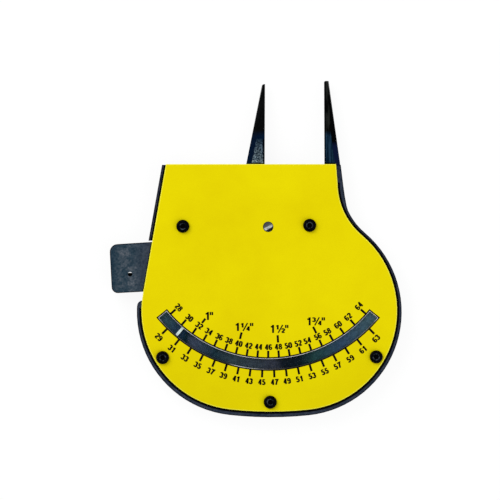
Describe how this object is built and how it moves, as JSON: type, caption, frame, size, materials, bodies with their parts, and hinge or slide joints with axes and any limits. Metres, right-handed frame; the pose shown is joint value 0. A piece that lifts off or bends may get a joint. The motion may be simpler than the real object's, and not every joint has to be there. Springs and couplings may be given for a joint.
{
  "type": "dial caliper",
  "caption": "Flat pocket dial caliper: two thin ground jaws, a thumb tab that opens the sliding jaw, and a long pointer behind an arc window.",
  "frame": {"origin": "on the back face, under the pointer's pivot, which is the centre of the dial scale", "axes": "+X to the right of the dial, +Y from the body towards the jaw tips, +Z out of the dial's front"},
  "size_m": [0.1196, 0.1379, 0.0124],
  "materials": {
    "blued_steel": "satin blued steel",
    "yellow_cover": "satin yellow coating",
    "bright_steel": "bright",
    "black_oxide": "black oxide",
    "white_pointer": "white paint",
    "brass": "turned",
    "clear_pane": "clear"
  },
  "bodies": {
    "housing": {"back_plate": "blued_steel", "frame": "blued_steel", "side_bar": "blued_steel", "front_cover": "yellow_cover", "dial_pane": "clear_pane", "pivot_stud": "bright_steel", "pivot_bush": "brass", "pivot_washer": "brass", "return_spring": "bright_steel", "spring_anchor_pin": "bright_steel", "frame_dowel_1": "bright_steel", "frame_dowel_2": "bright_steel", "frame_dowel_3": "bright_steel", "side_bar_dowel_1": "bright_steel", "side_bar_dowel_2": "bright_steel", "cover_screw_1": "black_oxide", "cover_screw_2": "black_oxide", "cover_screw_3": "black_oxide", "cover_screw_4": "black_oxide", "cover_screw_5": "black_oxide"},
    "jaw": {"jaw_slide": "blued_steel", "jaw_guide_pin_1": "bright_steel", "jaw_guide_pin_2": "bright_steel"},
    "push": {"push_slide": "blued_steel", "push_guide_pin_1": "bright_steel", "push_guide_pin_2": "bright_steel", "spring_slide_pin": "bright_steel"},
    "crank": {"crank_lever": "bright_steel", "pointer": "white_pointer", "jaw_drive_pin": "bright_steel", "push_drive_pin": "bright_steel"}
  },
  "joints": [
    {"name": "jaw_travel", "type": "slide", "parent": "housing", "child": "jaw", "axis": [-1, 0, 0], "range_m": [-0.00198, 0.02659], "stiffness_N_per_m": 30},
    {"name": "thumb_press", "type": "slide", "parent": "housing", "child": "push", "axis": [1, 0, 0], "range_m": [-0.001, 0.0133], "deforming": ["return_spring"]},
    {"name": "crank_turn", "type": "hinge", "parent": "housing", "child": "crank", "pos_m": [0, 0, 0.0064], "axis": [0, 0, 1], "range_deg": [-6.7, 88.9]}
  ],
  "couplings": [
    {"joint": "thumb_press", "follows": "jaw_travel", "ratio": 0.5},
    {"joint": "crank_turn", "follows": "jaw_travel", "rad_per_m": 58.29}
  ]
}
